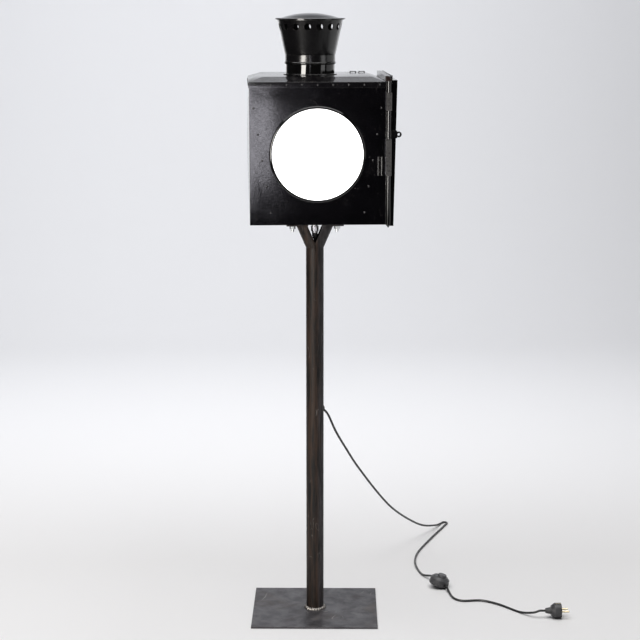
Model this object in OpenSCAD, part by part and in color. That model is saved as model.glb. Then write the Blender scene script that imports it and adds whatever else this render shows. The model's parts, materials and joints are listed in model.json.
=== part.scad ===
// Railway signal lamp head on a post stand: a sheet-steel lantern with a round
// opal window, a vented chimney and a side door, wired as a floor lamp.
// Origin: middle of the floor plate's underside, under the post.
// +X is the door side, the window faces -Y, +Z is up.

/* [Stand] */
// Width of the floor plate, left to right
base_w = 305; // [280:5:340]
// Depth of the floor plate, front to back
base_d = 280; // [260:5:320]
// Thickness of the floor plate
base_t = 5; // [4:0.5:8]
// Turn of the floor plate against the lamp box, in degrees
base_turn = -3.2; // [-6:0.1:6]
// Outer diameter of the post tube
post_d = 42.4; // [40:0.1:44.5]
// Wall of the post tube
post_wall = 2.6; // [2.3:0.1:3.2]
// Height of the crotch where the split post opens into two arms
fork_z = 917; // [905:1:922]
// Lean of each arm from upright, in degrees
fork_lean = 23.6; // [21:0.1:25]
// Distance of each fork bolt from the post's axis
bolt_x = 53; // [52:0.5:56]

/* [Lamp box] */
// Width of the box
box_w = 310; // [306:1:316]
// Depth of the box
box_d = 310; // [306:1:330]
// Height of the box, from its underside to its eaves
box_h = 325; // [320:1:335]
// Height of the box's underside above the floor
box_z = 980; // [976:1:990]
// Thickness of the box's sheet
sheet_t = 1.5; // [1.2:0.1:1.8]
// Height of the band under the eaves
band_h = 13; // [10:1:16]
// Rise of the roof's hips
roof_rise = 10.5; // [8:0.5:16]
// Run of the roof's hips, from the eaves inward
roof_run = 32; // [26:1:40]

/* [Window] */
// Diameter of the window opening
window_d = 208; // [200:1:213]
// Height of the window's centre above the box's underside
window_up = 161; // [158:1:164]
// Width of the rolled ring round the window
bezel_w = 6.5; // [5:0.5:7.5]

/* [Chimney] */
// Distance of the chimney's axis from the box's centre
chimney_x = -11; // [-14:1:10]
// Outer diameter of the collar on the roof
collar_d = 115; // [112:1:118]
// Height of the collar
collar_h = 30; // [28:1:34]
// Diameter of the cowl just under its brim
cowl_top_d = 153; // [145:1:156]
// Diameter of the cap's brim
brim_d = 165; // [160:1:170]
// Number of vent holes in the cowl
vent_count = 16; // [10:1:16]
// Diameter of a vent hole
vent_d = 15.5; // [12:0.5:18]

/* [Door] */
// Depth of the door tray, from its rim to its outer face
door_depth = 13; // [11:0.5:16]
// Depth of the frame that the door closes on
frame_depth = 12.5; // [12.5:0.1:13]
// Diameter of the locking bar
bar_d = 10; // [8:0.5:10]
// Diameter of the hole in each padlock eye
eye_hole_d = 6; // [5:0.5:6.5]

/* [Mains lead] */
// Outer diameter of the lead
lead_d = 6; // [5:0.5:6]
// Diameter of the foot switch
switch_d = 50; // [48:1:54]
// Tilt at which the lead holds the switch, in degrees
switch_tilt = 16; // [8:1:18]

/* [Hidden] */
$fn = 64;
half_w = box_w / 2;
half_d = box_d / 2;
eave_z = box_z + box_h;
roof_z = eave_z + roof_rise;
window_z = box_z + window_up;
inner_x = half_w - sheet_t;
inner_y = half_d - sheet_t;
contact_gap = 0.02;
running_gap = 0.05;

// The split post: each arm keeps a little more than half of the tube
post_r = post_d / 2;
arm_r = post_r - 0.4;
arm_extra = 3;
slit_w = 1.4;
slit_z = fork_z - 18;
foot_h = 21;
foot_x0 = 16.5;
foot_x1 = 68;
foot_w = 40;
foot_wall = 3;
foot_z = box_z - foot_h;

// M8 fork bolts
bolt_r = 4;
bolt_hole_r = 4.5;
bolt_flats = 13;
head_h = 5.3;
nut_h = 6.8;
washer_r = 8;
washer_t = 1.6;
bolt_end_z = foot_z - washer_t - nut_h - 6.5;

// Cable gland in the box's floor
gland_hole_r = 6.1;
gland_bore_r = lead_d / 2 + 0.2;
gland_nut_h = 13;
gland_nut_z = box_z - 35;
gland_boot_z = gland_nut_z - 18;

// Lamp inside the box
bulb_r = 47.5;
bulb_wall = 1;
holder_r = 20;
holder_h = 52;
holder_z = window_z - 110;
cap_r = 13;

// Window pane, wedged between two runners that lean inward
pane_t = 3;
pane_half_h = 117;
pane_reach = 118.5;
runner_reach = 126.7;
runner_lean = 9.07;
runner_len = 252;
seal_t = 1.5;
rivet_r = 2.6;
rivet_h = 1.6;
front_rivets_per_side = 5;
front_rivet_pitch = 60.2;
front_rivet_top = 109;

// Band rivets
band_rivet_pitch = 36;
band_rivets_per_side = 9;

// Chimney heights
collar_wall = 1.2;
bead_r = 3;
collar_top = roof_z + collar_h;
cowl_top = collar_top + 97;
skirt_h = 15.5;
vent_z = collar_top + 80.5;
vent_turn = -7;
dome_r = 69;
dome_h = 11.5;

// Door, frame and hinges
frame_x = half_w + frame_depth;
door_x = frame_x + 0.5;
door_face = door_x + door_depth;
door_half = half_d - 1;
door_z0 = box_z - 3;
door_z1 = eave_z + 4;
door_lip_h = 10;
hood_x = half_w + sheet_t + 0.1;
hood_y0 = 8 - half_d;
hood_y1 = half_d - 20;
hood_z = door_z1 + door_lip_h - 1.5;
frame_member = 24;
hinge_x = door_x + door_depth / 2;
hinge_y = half_d + 6;
hinge_pin_r = 2.5;
knuckle_r = 5;
knuckle_h = 16;
knuckle_gap = 0.2;
hinge_zs = [box_z + 67, box_z + 242];
strap_len = 96;

// Locking bar on the front corner
guide_r = 6.5;
guide_fold = 1.8;
bar_x = half_w + frame_depth / 2;
bar_y = -half_d - guide_r;
bar_z0 = box_z - 6;
bar_tip_h = 6;
bar_top = eave_z + 2;
guide_spans = [[113, 156], [157, 197], [261, 301]];
handle_up = 207;
handle_h = 17;
handle_t = 4;
eye_r = 6.5;
eye_x = door_face + 3;

// Lead, switch and plug
lead_r = lead_d / 2;
exit_turn = 30;
exit_z = 509.5;
exit_hole_r = 6;
switch_pos = [324, 146];
switch_r = switch_d / 2;
base_shell_h = 11;
cover_h = 12;
shell_wall = 2;
rib_count = 36;
button_r = 11;
button_x = 3;
lead_in_turn = 107;
lead_out_turn = -62;
lead_port_h = 7;
plug_pos = [560, -90];
plug_r = 18.5;
plug_len = 38;
pin_r = 2.4;
pin_root_r = 2;
pin_root = 10;
pin_len = 19;
pin_pitch = 19;

// ---------- shared shapes ----------

// A round tube or ring standing on z = 0
module ring(outer, inner, h) {
    difference() {
        cylinder(r = outer, h = h);
        translate([0, 0, -1]) cylinder(r = inner, h = h + 2);
    }
}

// A domed rivet head standing on z = 0
module rivet(r, h) {
    ball = (r * r + h * h) / (2 * h);
    intersection() {
        translate([0, 0, h - ball]) sphere(r = ball);
        cylinder(r = r, h = h);
    }
}

// A hexagonal prism, sized across its flats
module hex(flats, h) {
    cylinder(r = flats / sqrt(3), h = h, $fn = 6);
}

// A box given by its lowest and highest corners
module block(low, high) {
    translate(low) cube(high - low);
}

// Puts children on the box's front face, at x and z, pointing forward
module on_front(x, z, y = -half_d) {
    translate([x, y, z]) rotate([90, 0, 0]) children();
}

function unit(v) = v / norm(v);

// One point of a Catmull-Rom curve from b to c
function curve_point(a, b, c, d, t) =
    0.5 * (2 * b + (c - a) * t + (2 * a - 5 * b + 4 * c - d) * t * t
    + (3 * b - a - 3 * c + d) * t * t * t);

// A smooth path through a list of points, with steps points in each stretch
function smooth_path(p, steps) =
    let (q = concat([2 * p[0] - p[1]], p, [2 * p[len(p) - 1] - p[len(p) - 2]]))
    concat(
        [for (i = [0 : len(q) - 4], k = [0 : steps - 1])
            curve_point(q[i], q[i + 1], q[i + 2], q[i + 3], k / steps)],
        [p[len(p) - 1]]
    );

function tangent(p, i) =
    unit(p[min(i + 1, len(p) - 1)] - p[max(i - 1, 0)]);

// Sideways directions along a path, carried from point to point without twist
function side_list(p, i, u) =
    i == len(p) ? [] :
    let (t = tangent(p, i), n = unit(u - (u * t) * t))
    concat([n], side_list(p, i + 1, n));

// A round cord of radius r along a list of points
module cord(p, r, sides = 8, start_side = [1, 0.3, 0]) {
    n = len(p);
    u = side_list(p, 0, start_side);
    points = [for (i = [0 : n - 1], k = [0 : sides - 1])
        let (v = cross(tangent(p, i), u[i]), a = 360 * k / sides)
        p[i] + r * (cos(a) * u[i] + sin(a) * v)];
    skin = [for (i = [0 : n - 2], k = [0 : sides - 1], half = [0, 1])
        let (a = i * sides + k, b = i * sides + (k + 1) % sides)
        half == 0 ? [a, a + sides, b] : [b, a + sides, b + sides]];
    first = [[for (k = [0 : sides - 1]) k]];
    last = [[for (k = [0 : sides - 1]) n * sides - 1 - k]];
    polyhedron(points = points, faces = concat(skin, first, last));
}

// ---------- stand ----------

module base_plate() {
    color("#2c2b2d")
    rotate([0, 0, base_turn])
    block([-base_w / 2, -base_d / 2, 0], [base_w / 2, base_d / 2, base_t]);
}

// Fillet weld round the foot of the post
module foot_weld() {
    leg = 5;
    inner = post_r + contact_gap;
    color("#5a5654")
    translate([0, 0, base_t])
    rotate_extrude()
    polygon([[inner, 0], [inner + leg, 0], [inner + 0.6 * leg, 0.45 * leg], [inner, leg]]);
}

// One arm: the tube's outer half, leaning outward from the crotch
module fork_arm() {
    intersection() {
        translate([0, 0, fork_z])
        rotate([0, fork_lean, 0])
        intersection() {
            translate([arm_extra, 0, -20]) ring(arm_r, arm_r - post_wall, 90);
            block([0, -post_d, -20], [post_d, post_d, 90]);
        }
        block([-post_d, -post_d, fork_z - 13], [3 * post_d, post_d, foot_z]);
    }
}

module post_tube() {
    color("#2d2824")
    difference() {
        union() {
            translate([0, 0, base_t]) ring(post_r, post_r - post_wall, fork_z - 11 - base_t);
            fork_arm();
            mirror([1, 0, 0]) fork_arm();
        }
        rotate([0, 0, exit_turn])
        translate([post_r / 2, 0, exit_z])
        rotate([0, 90, 0])
        cylinder(r = exit_hole_r, h = post_r);
        block([-slit_w / 2, -post_d, slit_z], [slit_w / 2, post_d, fork_z + 20]);
    }
}

// Two short lengths of box section welded on the arms, which carry the lamp box
module fork_feet() {
    color("#2d2824")
    for (side = [0, 1])
    mirror([side, 0, 0])
    difference() {
        block([foot_x0, -foot_w / 2, foot_z], [foot_x1, foot_w / 2, box_z]);
        block([foot_x0 - 1, foot_wall - foot_w / 2, foot_z + foot_wall],
            [foot_x1 + 1, foot_w / 2 - foot_wall, box_z - foot_wall]);
        translate([bolt_x, 0, foot_z - 1]) cylinder(r = bolt_hole_r, h = foot_h + 2);
    }
}

module fork_bolts() {
    head_z = box_z + sheet_t + washer_t;
    color("#c9cdd0")
    for (side = [-1, 1])
    translate([side * bolt_x, 0, 0]) {
        translate([0, 0, head_z]) hex(bolt_flats, head_h);
        translate([0, 0, bolt_end_z]) cylinder(r = bolt_r, h = head_z - bolt_end_z);
    }
}

module fork_washers() {
    color("#c9cdd0")
    for (side = [-1, 1], z = [box_z + sheet_t, foot_z - washer_t])
    translate([side * bolt_x, 0, z]) ring(washer_r, bolt_r + 0.2, washer_t);
}

module fork_nuts() {
    color("#c9cdd0")
    for (side = [-1, 1])
    translate([side * bolt_x, 0, foot_z - washer_t - nut_h])
    difference() {
        hex(bolt_flats, nut_h);
        translate([0, 0, -1]) cylinder(r = bolt_r + contact_gap, h = nut_h + 2);
    }
}

// ---------- lamp box ----------

module front_panel() {
    color("#1a191d")
    difference() {
        block([-half_w, -half_d, box_z], [half_w, -inner_y, eave_z]);
        on_front(0, window_z, -half_d + 10) cylinder(r = window_d / 2, h = 20, $fn = 128);
    }
}

module left_panel() {
    color("#1a191d")
    block([-half_w, -inner_y, box_z], [-inner_x, inner_y, eave_z]);
}

module back_panel() {
    color("#1a191d")
    block([-half_w, inner_y, box_z], [half_w, half_d, eave_z]);
}

// The door side, cut out behind the door
module right_panel() {
    color("#1a191d")
    difference() {
        block([inner_x, -inner_y, box_z], [half_w, inner_y, eave_z]);
        block([inner_x - 1, frame_member - half_d, box_z + frame_member],
            [half_w + 1, half_d - frame_member, eave_z - frame_member]);
    }
}

module floor_pan() {
    color("#1a191d")
    difference() {
        block([-inner_x, -inner_y, box_z], [inner_x, inner_y, box_z + sheet_t]);
        for (side = [-1, 1])
        translate([side * bolt_x, 0, box_z - 1]) cylinder(r = bolt_hole_r, h = 5);
        translate([0, 0, box_z - 1]) cylinder(r = gland_hole_r, h = 5);
    }
}

// A four-sided hipped lid, from the eaves to its flat top
module hip(grow, z, rise) {
    w = half_w + grow;
    d = half_d + grow;
    run = roof_run;
    polyhedron(
        points = [
            [-w, -d, z], [w, -d, z], [w, d, z], [-w, d, z],
            [run - w, run - d, z + rise], [w - run, run - d, z + rise],
            [w - run, d - run, z + rise], [run - w, d - run, z + rise]
        ],
        faces = [[0, 1, 2, 3], [7, 6, 5, 4], [0, 4, 5, 1], [1, 5, 6, 2], [2, 6, 7, 3], [3, 7, 4, 0]]
    );
}

module roof() {
    color("#1d1c20")
    difference() {
        hip(sheet_t, eave_z, roof_rise);
        hip(-2.5, eave_z - 0.01, roof_rise - sheet_t);
        translate([chimney_x, 0, eave_z]) cylinder(r = collar_d / 2 - 5, h = 2 * roof_rise);
    }
}

// Band that ties the top of the front, left and back panels
module eave_band() {
    z0 = eave_z - band_h;
    color("#1d1c20") {
        block([-half_w - sheet_t, -half_d - sheet_t, z0], [half_w, -half_d, eave_z]);
        block([-half_w - sheet_t, half_d, z0], [half_w, half_d + sheet_t, eave_z]);
        block([-half_w - sheet_t, -half_d - 0.001, z0], [-half_w, half_d + 0.001, eave_z]);
    }
}

module band_rivets() {
    first = -(band_rivets_per_side - 1) / 2;
    z = eave_z - band_h / 2;
    color("#2a292d")
    for (turn = [0, -90, 180], i = [0 : band_rivets_per_side - 1])
    rotate([0, 0, turn])
    translate([(first + i) * band_rivet_pitch * (turn == 0 ? 0.98 : 1), -half_d - sheet_t, z])
    rotate([90, 0, 0])
    rivet(rivet_r, rivet_h);
}

// Rivets that hold the pane runners, in two rows that lean inward
module front_rivets() {
    color("#2a292d")
    for (side = [-1, 1], i = [0 : front_rivets_per_side - 1])
    on_front(0, window_z)
    rotate([0, 0, side * -runner_lean])
    translate([side * runner_reach, front_rivet_top + 18 - i * front_rivet_pitch, 0])
    rivet(rivet_r, rivet_h);
}

// Two folded lugs at the rear right of the roof
module roof_lugs() {
    color("#1d1c20")
    for (x = [88, 109])
    translate([x, 88, roof_z])
    difference() {
        block([0, 0, 0], [15, 20, 3]);
        block([2, -1, -1], [13, 21, 1.6]);
    }
}

// ---------- window ----------

module lens_bezel() {
    color("#141316")
    on_front(0, window_z)
    rotate_extrude($fn = 128)
    translate([window_d / 2, 0])
    intersection() {
        translate([bezel_w / 2, 0]) circle(r = bezel_w / 2);
        square([bezel_w, bezel_w]);
    }
}

module pane_seal() {
    color("#2a2a2a")
    on_front(0, window_z, -inner_y + seal_t)
    ring(window_d / 2 + 9, window_d / 2 + 0.5, seal_t, $fn = 128);
}

module opal_pane() {
    slope = tan(runner_lean);
    mid = pane_reach / cos(runner_lean);
    color("white")
    on_front(0, window_z, -inner_y + seal_t + pane_t)
    linear_extrude(height = pane_t)
    polygon([
        [-mid - slope * pane_half_h, pane_half_h],
        [-mid + slope * pane_half_h, -pane_half_h],
        [mid - slope * pane_half_h, -pane_half_h],
        [mid + slope * pane_half_h, pane_half_h]
    ]);
}

// Folded runners riveted behind the front panel; the pane wedges between them
module pane_runners() {
    lip_y = seal_t + pane_t + 0.1;
    color("#2a292d")
    for (side = [0, 1])
    mirror([side, 0, 0])
    translate([0, -inner_y, window_z])
    rotate([0, runner_lean, 0])
    translate([runner_reach, 0, 0]) {
        block([-6, 0, 18 - runner_len / 2], [6, seal_t, runner_len / 2]);
        block([-7.5, 0, 18 - runner_len / 2], [-6, lip_y + seal_t, runner_len / 2]);
        block([-16, lip_y, 18 - runner_len / 2], [-6, lip_y + seal_t, runner_len / 2]);
    }
}

// ---------- chimney ----------

module chimney_collar() {
    inner = collar_d / 2 - collar_wall;
    color("#151417")
    translate([chimney_x, 0, roof_z]) {
        ring(collar_d / 2 + 5.5, inner, 2);
        ring(collar_d / 2, inner, collar_h);
        difference() {
            translate([0, 0, collar_h - bead_r])
            rotate_extrude()
            translate([collar_d / 2, 0]) circle(r = bead_r);
            translate([0, 0, -1]) cylinder(r = inner + 0.3, h = 2 * collar_h);
        }
    }
}

module collar_rivets() {
    color("#2a292d")
    translate([chimney_x, 0, roof_z + 2])
    for (i = [0 : 5])
    rotate([0, 0, 30 + 60 * i])
    translate([collar_d / 2 + 3, 0, 0])
    rivet(1.8, 1.1);
}

// Lift-off cowl: a spigot inside the collar, a short skirt and a flared cone
module chimney_cowl() {
    wall = 1.2;
    spigot_r = collar_d / 2 - collar_wall - 0.3;
    skirt_r = collar_d / 2 + 1.3;
    top_r = cowl_top_d / 2;
    z0 = 0.1;
    color("#19181b")
    translate([chimney_x, 0, collar_top])
    difference() {
        rotate_extrude($fn = 96)
        polygon([
            [spigot_r - wall, -12], [spigot_r, -12], [spigot_r, z0], [skirt_r, z0],
            [skirt_r, skirt_h], [skirt_r + 0.8, skirt_h + 1], [top_r, cowl_top - collar_top - wall],
            [top_r + 3, cowl_top - collar_top - wall], [top_r + 3, cowl_top - collar_top],
            [top_r - wall, cowl_top - collar_top], [skirt_r + 0.8 - wall, skirt_h + 1],
            [skirt_r - wall, skirt_h], [skirt_r - wall, z0 + wall], [spigot_r - wall, z0 + wall]
        ]);
        for (i = [0 : vent_count - 1])
        rotate([0, 0, vent_turn + 360 * i / vent_count])
        translate([0, -cowl_top_d / 3, vent_z - collar_top])
        rotate([90, 0, 0])
        cylinder(r = vent_d / 2, h = cowl_top_d / 3);
    }
}

// Shallow domed cap with a flat brim
module cowl_cap() {
    ball = (dome_r * dome_r + dome_h * dome_h) / (2 * dome_h);
    brim_t = 3;
    color("#151417")
    translate([chimney_x, 0, cowl_top]) {
        ring(brim_d / 2, dome_r - 2, brim_t);
        intersection() {
            translate([0, 0, brim_t + dome_h - ball])
            difference() {
                sphere(r = ball, $fn = 128);
                sphere(r = ball - 1.5, $fn = 128);
            }
            cylinder(r = dome_r, h = 3 * dome_h);
        }
    }
}

// ---------- door ----------

// Folded channel frame that the door closes on
module door_frame() {
    w = frame_member;
    t = sheet_t;
    color("#19181b")
    difference() {
        block([half_w, -half_d, box_z], [frame_x, half_d, eave_z]);
        block([half_w - 1, w - half_d, box_z + w], [frame_x + 1, half_d - w, eave_z - w]);
        for (y = [[t - half_d, w - t - half_d], [half_d - w + t, half_d - t]])
        block([half_w - 1, y[0], box_z + t], [frame_x - t, y[1], eave_z - t]);
        for (z = [[box_z + t, box_z + w - t], [eave_z - w + t, eave_z - t]])
        block([half_w - 1, t - half_d, z[0]], [frame_x - t, half_d - t, z[1]]);
    }
}

// Folded strip on the frame's top that hoods the gap above the door
module door_hood() {
    color("#19181b")
    difference() {
        block([hood_x, hood_y0, eave_z], [frame_x, hood_y1, hood_z]);
        block([hood_x + sheet_t, hood_y0 - 1, eave_z - 1], [frame_x + 1, hood_y1 + 1, hood_z - sheet_t]);
    }
}

// The door: a folded tray with a lip that sheds rain along its top
module door_panel() {
    t = sheet_t;
    color("#161519") {
        difference() {
            block([door_x, -door_half, door_z0], [door_face, door_half, door_z1]);
            block([door_x - 1, t - door_half, door_z0 + t], [door_face - t, door_half - t, door_z1 - t]);
        }
        block([door_x + 1, 10 - door_half, door_z1 - t],
            [door_x + 1 + t, door_half - 20, door_z1 + door_lip_h]);
    }
}

// The fixed half of each hinge: a leaf on the back with two knuckles
module body_hinges() {
    color("#26252a")
    for (z = hinge_zs)
    translate([0, 0, z])
    difference() {
        union() {
            block([half_w - 38, half_d, 0], [frame_x, half_d + 2, 3 * knuckle_h]);
            for (k = [0, 2])
            translate([0, 0, k * knuckle_h]) {
                block([frame_x - 1, half_d, 0], [hinge_x, half_d + 2, knuckle_h]);
                translate([hinge_x, hinge_y, 0]) cylinder(r = knuckle_r, h = knuckle_h);
            }
        }
        translate([hinge_x, hinge_y, -1]) cylinder(r = hinge_pin_r + running_gap, h = 4 * knuckle_h);
    }
}

// The moving half of each hinge: one knuckle and a strap on the door's face
module door_hinges() {
    h = knuckle_h - 2 * knuckle_gap;
    color("#26252a")
    for (z = hinge_zs)
    translate([0, 0, z + knuckle_h + knuckle_gap])
    difference() {
        union() {
            translate([hinge_x, hinge_y, 0]) cylinder(r = knuckle_r, h = h);
            block([hinge_x, hinge_y - 1.5, 0], [door_face + 2, hinge_y + 1.5, h]);
            block([door_face, door_half - strap_len, 0], [door_face + 2, hinge_y + 1.5, h]);
        }
        translate([hinge_x, hinge_y, -1]) cylinder(r = hinge_pin_r + running_gap, h = 2 * knuckle_h);
    }
}

module hinge_pins() {
    color("#3a383a")
    for (z = hinge_zs)
    translate([hinge_x, hinge_y, z - 2]) {
        cylinder(r = hinge_pin_r, h = 3 * knuckle_h + 3);
        translate([0, 0, 3 * knuckle_h + 2.1]) cylinder(r = hinge_pin_r + 1.2, h = 2);
    }
}

// Rivets through the fixed leaves
module hinge_rivets() {
    color("#2a292d")
    for (z = hinge_zs, x = [half_w - 30, half_w - 10], up = [10, 38])
    translate([x, half_d + 2, z + up]) rotate([-90, 0, 0]) rivet(rivet_r, rivet_h);
}

// Rivets through the door straps and the door's padlock eye
module strap_rivets() {
    color("#2a292d") {
        for (z = hinge_zs, back = [20, 50, 84])
        translate([door_face + 2, door_half - back, z + 1.5 * knuckle_h])
        rotate([0, 90, 0])
        rivet(rivet_r, rivet_h);
        for (up = [-6.5, 6.5])
        on_front(door_x + 5, box_z + handle_up + up, -door_half - 2) rivet(2, 1.2);
    }
}

// A flat eye plate in the X-Z plane, from x0 to the eye
module eye_plate(x0, y0, y1, root_x) {
    z = box_z + handle_up;
    difference() {
        union() {
            block([x0, y0, z - handle_h / 2], [root_x, y1, z + handle_h / 2]);
            block([root_x - 1, y0, z - 4.5], [eye_x, y1, z + 4.5]);
            translate([eye_x, y1, z]) rotate([90, 0, 0]) cylinder(r = eye_r, h = y1 - y0);
        }
        translate([eye_x, y1 + 1, z]) rotate([90, 0, 0]) cylinder(r = eye_hole_d / 2, h = y1 - y0 + 2);
    }
}

// The door's own eye, behind the one on the locking bar's handle
module hasp_eye() {
    color("#26252a")
    eye_plate(door_x + 0.5, -door_half - 2, -door_half, door_face);
}

// ---------- locking bar ----------

module locking_bar() {
    color("#4a484a")
    translate([bar_x, bar_y, 0]) {
        translate([0, 0, bar_z0]) cylinder(r1 = 0.6, r2 = bar_d / 2, h = bar_tip_h);
        translate([0, 0, bar_z0 + bar_tip_h])
        cylinder(r = bar_d / 2, h = bar_top - bar_z0 - bar_tip_h);
    }
}

// Block on the bar's top end, sloped towards the door
module bar_cam() {
    color("#4a2c22")
    translate([bar_x, bar_y + 5, bar_top])
    rotate([90, 0, 0])
    linear_extrude(height = 10)
    polygon([[-8.5, 0], [5, 0], [5, 4], [-1.5, 12], [-8.5, 12]]);
}

module bar_handle() {
    z = box_z + handle_up;
    color("#3c3a3d")
    difference() {
        union() {
            translate([bar_x, bar_y, z - handle_h / 2 + 1.5]) cylinder(r = guide_r - 0.3, h = handle_h - 3);
            eye_plate(bar_x, bar_y - handle_t / 2, bar_y + handle_t / 2, door_face - 1.5);
        }
        translate([bar_x, bar_y, z - handle_h])
        cylinder(r = bar_d / 2 + contact_gap, h = 2 * handle_h);
    }
}

// Flat straps, folded round the bar, in which it turns
module guide_strap(h) {
    g = guide_r;
    f = guide_fold;
    linear_extrude(height = h)
    polygon([[-g, g], [-g, f - g], [f - g, -g], [g - f, -g], [g, f - g], [g, g]]);
}

// The three straps; the lowest has a ribbed plate on the front panel
module bar_guides() {
    color("#6c6a6c")
    for (i = [0 : 2])
    difference() {
        z0 = box_z + guide_spans[i][0];
        z1 = box_z + guide_spans[i][1];
        union() {
            translate([bar_x, bar_y, z0]) guide_strap(z1 - z0);
            if (i == 0) {
                block([half_w - 18.4, -half_d - 2, z0], [bar_x, -half_d, z1]);
                for (rib = [[16.7, 1.7], [8.5, 2.5]])
                translate([half_w - rib[0], -half_d - rib[1], z0]) cylinder(r = rib[1], h = z1 - z0);
            }
        }
        translate([bar_x, bar_y, z0 - 1]) cylinder(r = bar_d / 2 + running_gap, h = z1 - z0 + 2);
    }
}

module guide_rivets() {
    color("#2a292d")
    for (up = [8, 35])
    on_front(half_w - 13, box_z + guide_spans[0][0] + up, -half_d - 2) rivet(1.8, 1.2);
}

// ---------- lamp ----------

// Folded strap that holds the lamp holder over the gland
module holder_bracket() {
    t = 2;
    color("#8d8f90")
    difference() {
        union() {
            block([-15, 60, box_z + sheet_t], [15, 92, box_z + sheet_t + t]);
            block([-15, 60, box_z + sheet_t], [15, 60 + t, holder_z]);
            block([-15, -15, holder_z - t], [15, 60 + t, holder_z]);
        }
        translate([0, 0, holder_z - 5]) cylinder(r = 5, h = 10);
    }
}

module bracket_screws() {
    color("#c9cdd0")
    for (y = [72, 84])
    translate([0, y, box_z + sheet_t + 2])
    difference() {
        rivet(4, 2.6);
        block([-5, -0.6, 1.4], [5, 0.6, 4]);
    }
}

module lamp_holder() {
    color("#1b1b1b")
    translate([0, 0, holder_z])
    difference() {
        union() {
            cylinder(r = holder_r - 4, h = 14);
            translate([0, 0, 14]) cylinder(r = holder_r, h = holder_h - 14);
            translate([0, 0, 30]) cylinder(r = holder_r + 2, h = 5);
        }
        translate([0, 0, 20]) cylinder(r = cap_r + 0.6, h = holder_h);
        translate([0, 0, -1]) cylinder(r = lead_r + 0.3, h = 12);
    }
}

module bulb_cap() {
    color("#b9b6ae")
    translate([0, 0, holder_z + 24])
    union() {
        cylinder(r = 5, h = 3);
        translate([0, 0, 3]) cylinder(r = cap_r, h = holder_h - 27);
    }
}

module bulb_glass() {
    neck_r = 15;
    neck_z = holder_z + holder_h;
    color("ivory")
    difference() {
        union() {
            translate([0, 0, window_z]) sphere(r = bulb_r);
            translate([0, 0, neck_z]) cylinder(r = neck_r, h = window_z - neck_z);
        }
        translate([0, 0, window_z]) sphere(r = bulb_r - bulb_wall);
        translate([0, 0, neck_z - 1]) cylinder(r = neck_r - bulb_wall, h = window_z - neck_z);
    }
}

module gland_body() {
    color("#b8babb")
    difference() {
        union() {
            translate([0, 0, box_z - 10]) hex(17, 10);
            translate([0, 0, box_z - 22]) cylinder(r = 6.5, h = 12);
            translate([0, 0, box_z]) cylinder(r = 6, h = 8);
        }
        translate([0, 0, box_z - 30]) cylinder(r = gland_bore_r, h = 50);
    }
}

module gland_locknut() {
    color("#b8babb")
    translate([0, 0, box_z + sheet_t])
    difference() {
        hex(15, 3);
        translate([0, 0, -1]) cylinder(r = 6 + contact_gap, h = 5);
    }
}

module gland_nut() {
    color("#d5d6d6")
    difference() {
        union() {
            translate([0, 0, gland_nut_z]) hex(16, gland_nut_h);
            translate([0, 0, gland_nut_z - 4]) cylinder(r = 7.2, h = 4);
        }
        translate([0, 0, gland_nut_z - 5]) cylinder(r = gland_bore_r, h = 30);
    }
}

module gland_boot() {
    color("#111113")
    translate([0, 0, gland_boot_z])
    difference() {
        union() {
            cylinder(r1 = 4.4, r2 = 6.6, h = 8);
            translate([0, 0, 8]) cylinder(r = 6.8, h = 6);
        }
        translate([0, 0, -1]) cylinder(r = gland_bore_r, h = 20);
    }
}

// ---------- lead, switch and plug ----------

// Places a point of the switch's own frame, which leans towards +X
function switch_point(p) = [
    switch_pos[0] + p[0] * cos(switch_tilt) + p[2] * sin(switch_tilt),
    switch_pos[1] + p[1],
    switch_r * sin(switch_tilt) - p[0] * sin(switch_tilt) + p[2] * cos(switch_tilt)
];

function switch_port(turn, r) = switch_point([r * cos(turn), r * sin(turn), lead_port_h]);

module in_switch() {
    translate([switch_pos[0], switch_pos[1], switch_r * sin(switch_tilt)])
    rotate([0, switch_tilt, 0])
    children();
}

// Height of the hanging lead at a share t of its way to the floor
function hang_z(t) = lead_r + 506 * pow(1 - t, 1.65);

function hang_point(t) = [21 + 377 * t, 692 * t, hang_z(t)];

function out_of_post(r, z) = [r * cos(exit_turn), r * sin(exit_turn), z];

// The lead from the lamp holder, down the post and across the floor to the switch
function lamp_lead_points() = concat(
    [[0, 0, holder_z + 8], [0, 0, 900], [0, 0, 750], [0, 0, 620], [0, 0, 560]],
    [out_of_post(2.5, 532), out_of_post(9.5, 518), out_of_post(20, exit_z), [33, 24, 490]],
    [for (t = [0.088, 0.17, 0.26, 0.44, 0.58, 0.78, 0.92]) hang_point(t)],
    [[391, 678, lead_r], [397, 688, lead_r], [405, 690, lead_r], [409, 681, lead_r], [404, 668, lead_r]],
    [[354, 556, lead_r]],
    [[302, 430, lead_r], [284, 350, lead_r], [283, 290, lead_r], [292, 236, lead_r]],
    [switch_port(lead_in_turn, switch_r + 28) - [0, 0, 5], switch_port(lead_in_turn, switch_r + 12)],
    [switch_port(lead_in_turn, switch_r + 3), switch_port(lead_in_turn, switch_r - 6)]
);

// The lead from the switch to the plug
function plug_lead_points() = concat(
    [switch_port(lead_out_turn, switch_r - 6), switch_port(lead_out_turn, switch_r + 3)],
    [switch_port(lead_out_turn, switch_r + 11)],
    [[346, 92, lead_r + 1], [352, 54, lead_r], [372, 32, lead_r], [420, 32, lead_r]],
    [[460, 1, lead_r], [502, -54, lead_r]],
    [[plug_pos[0] - 30, plug_pos[1] + 5, lead_r + 9]],
    [for (along = [-14, -5, 12]) [plug_pos[0] + along, plug_pos[1], plug_r]]
);

module lamp_lead() {
    color("#101012")
    cord(smooth_path(lamp_lead_points(), 5), lead_r);
}

module plug_lead() {
    color("#101012")
    cord(smooth_path(plug_lead_points(), 6), lead_r);
}

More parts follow.
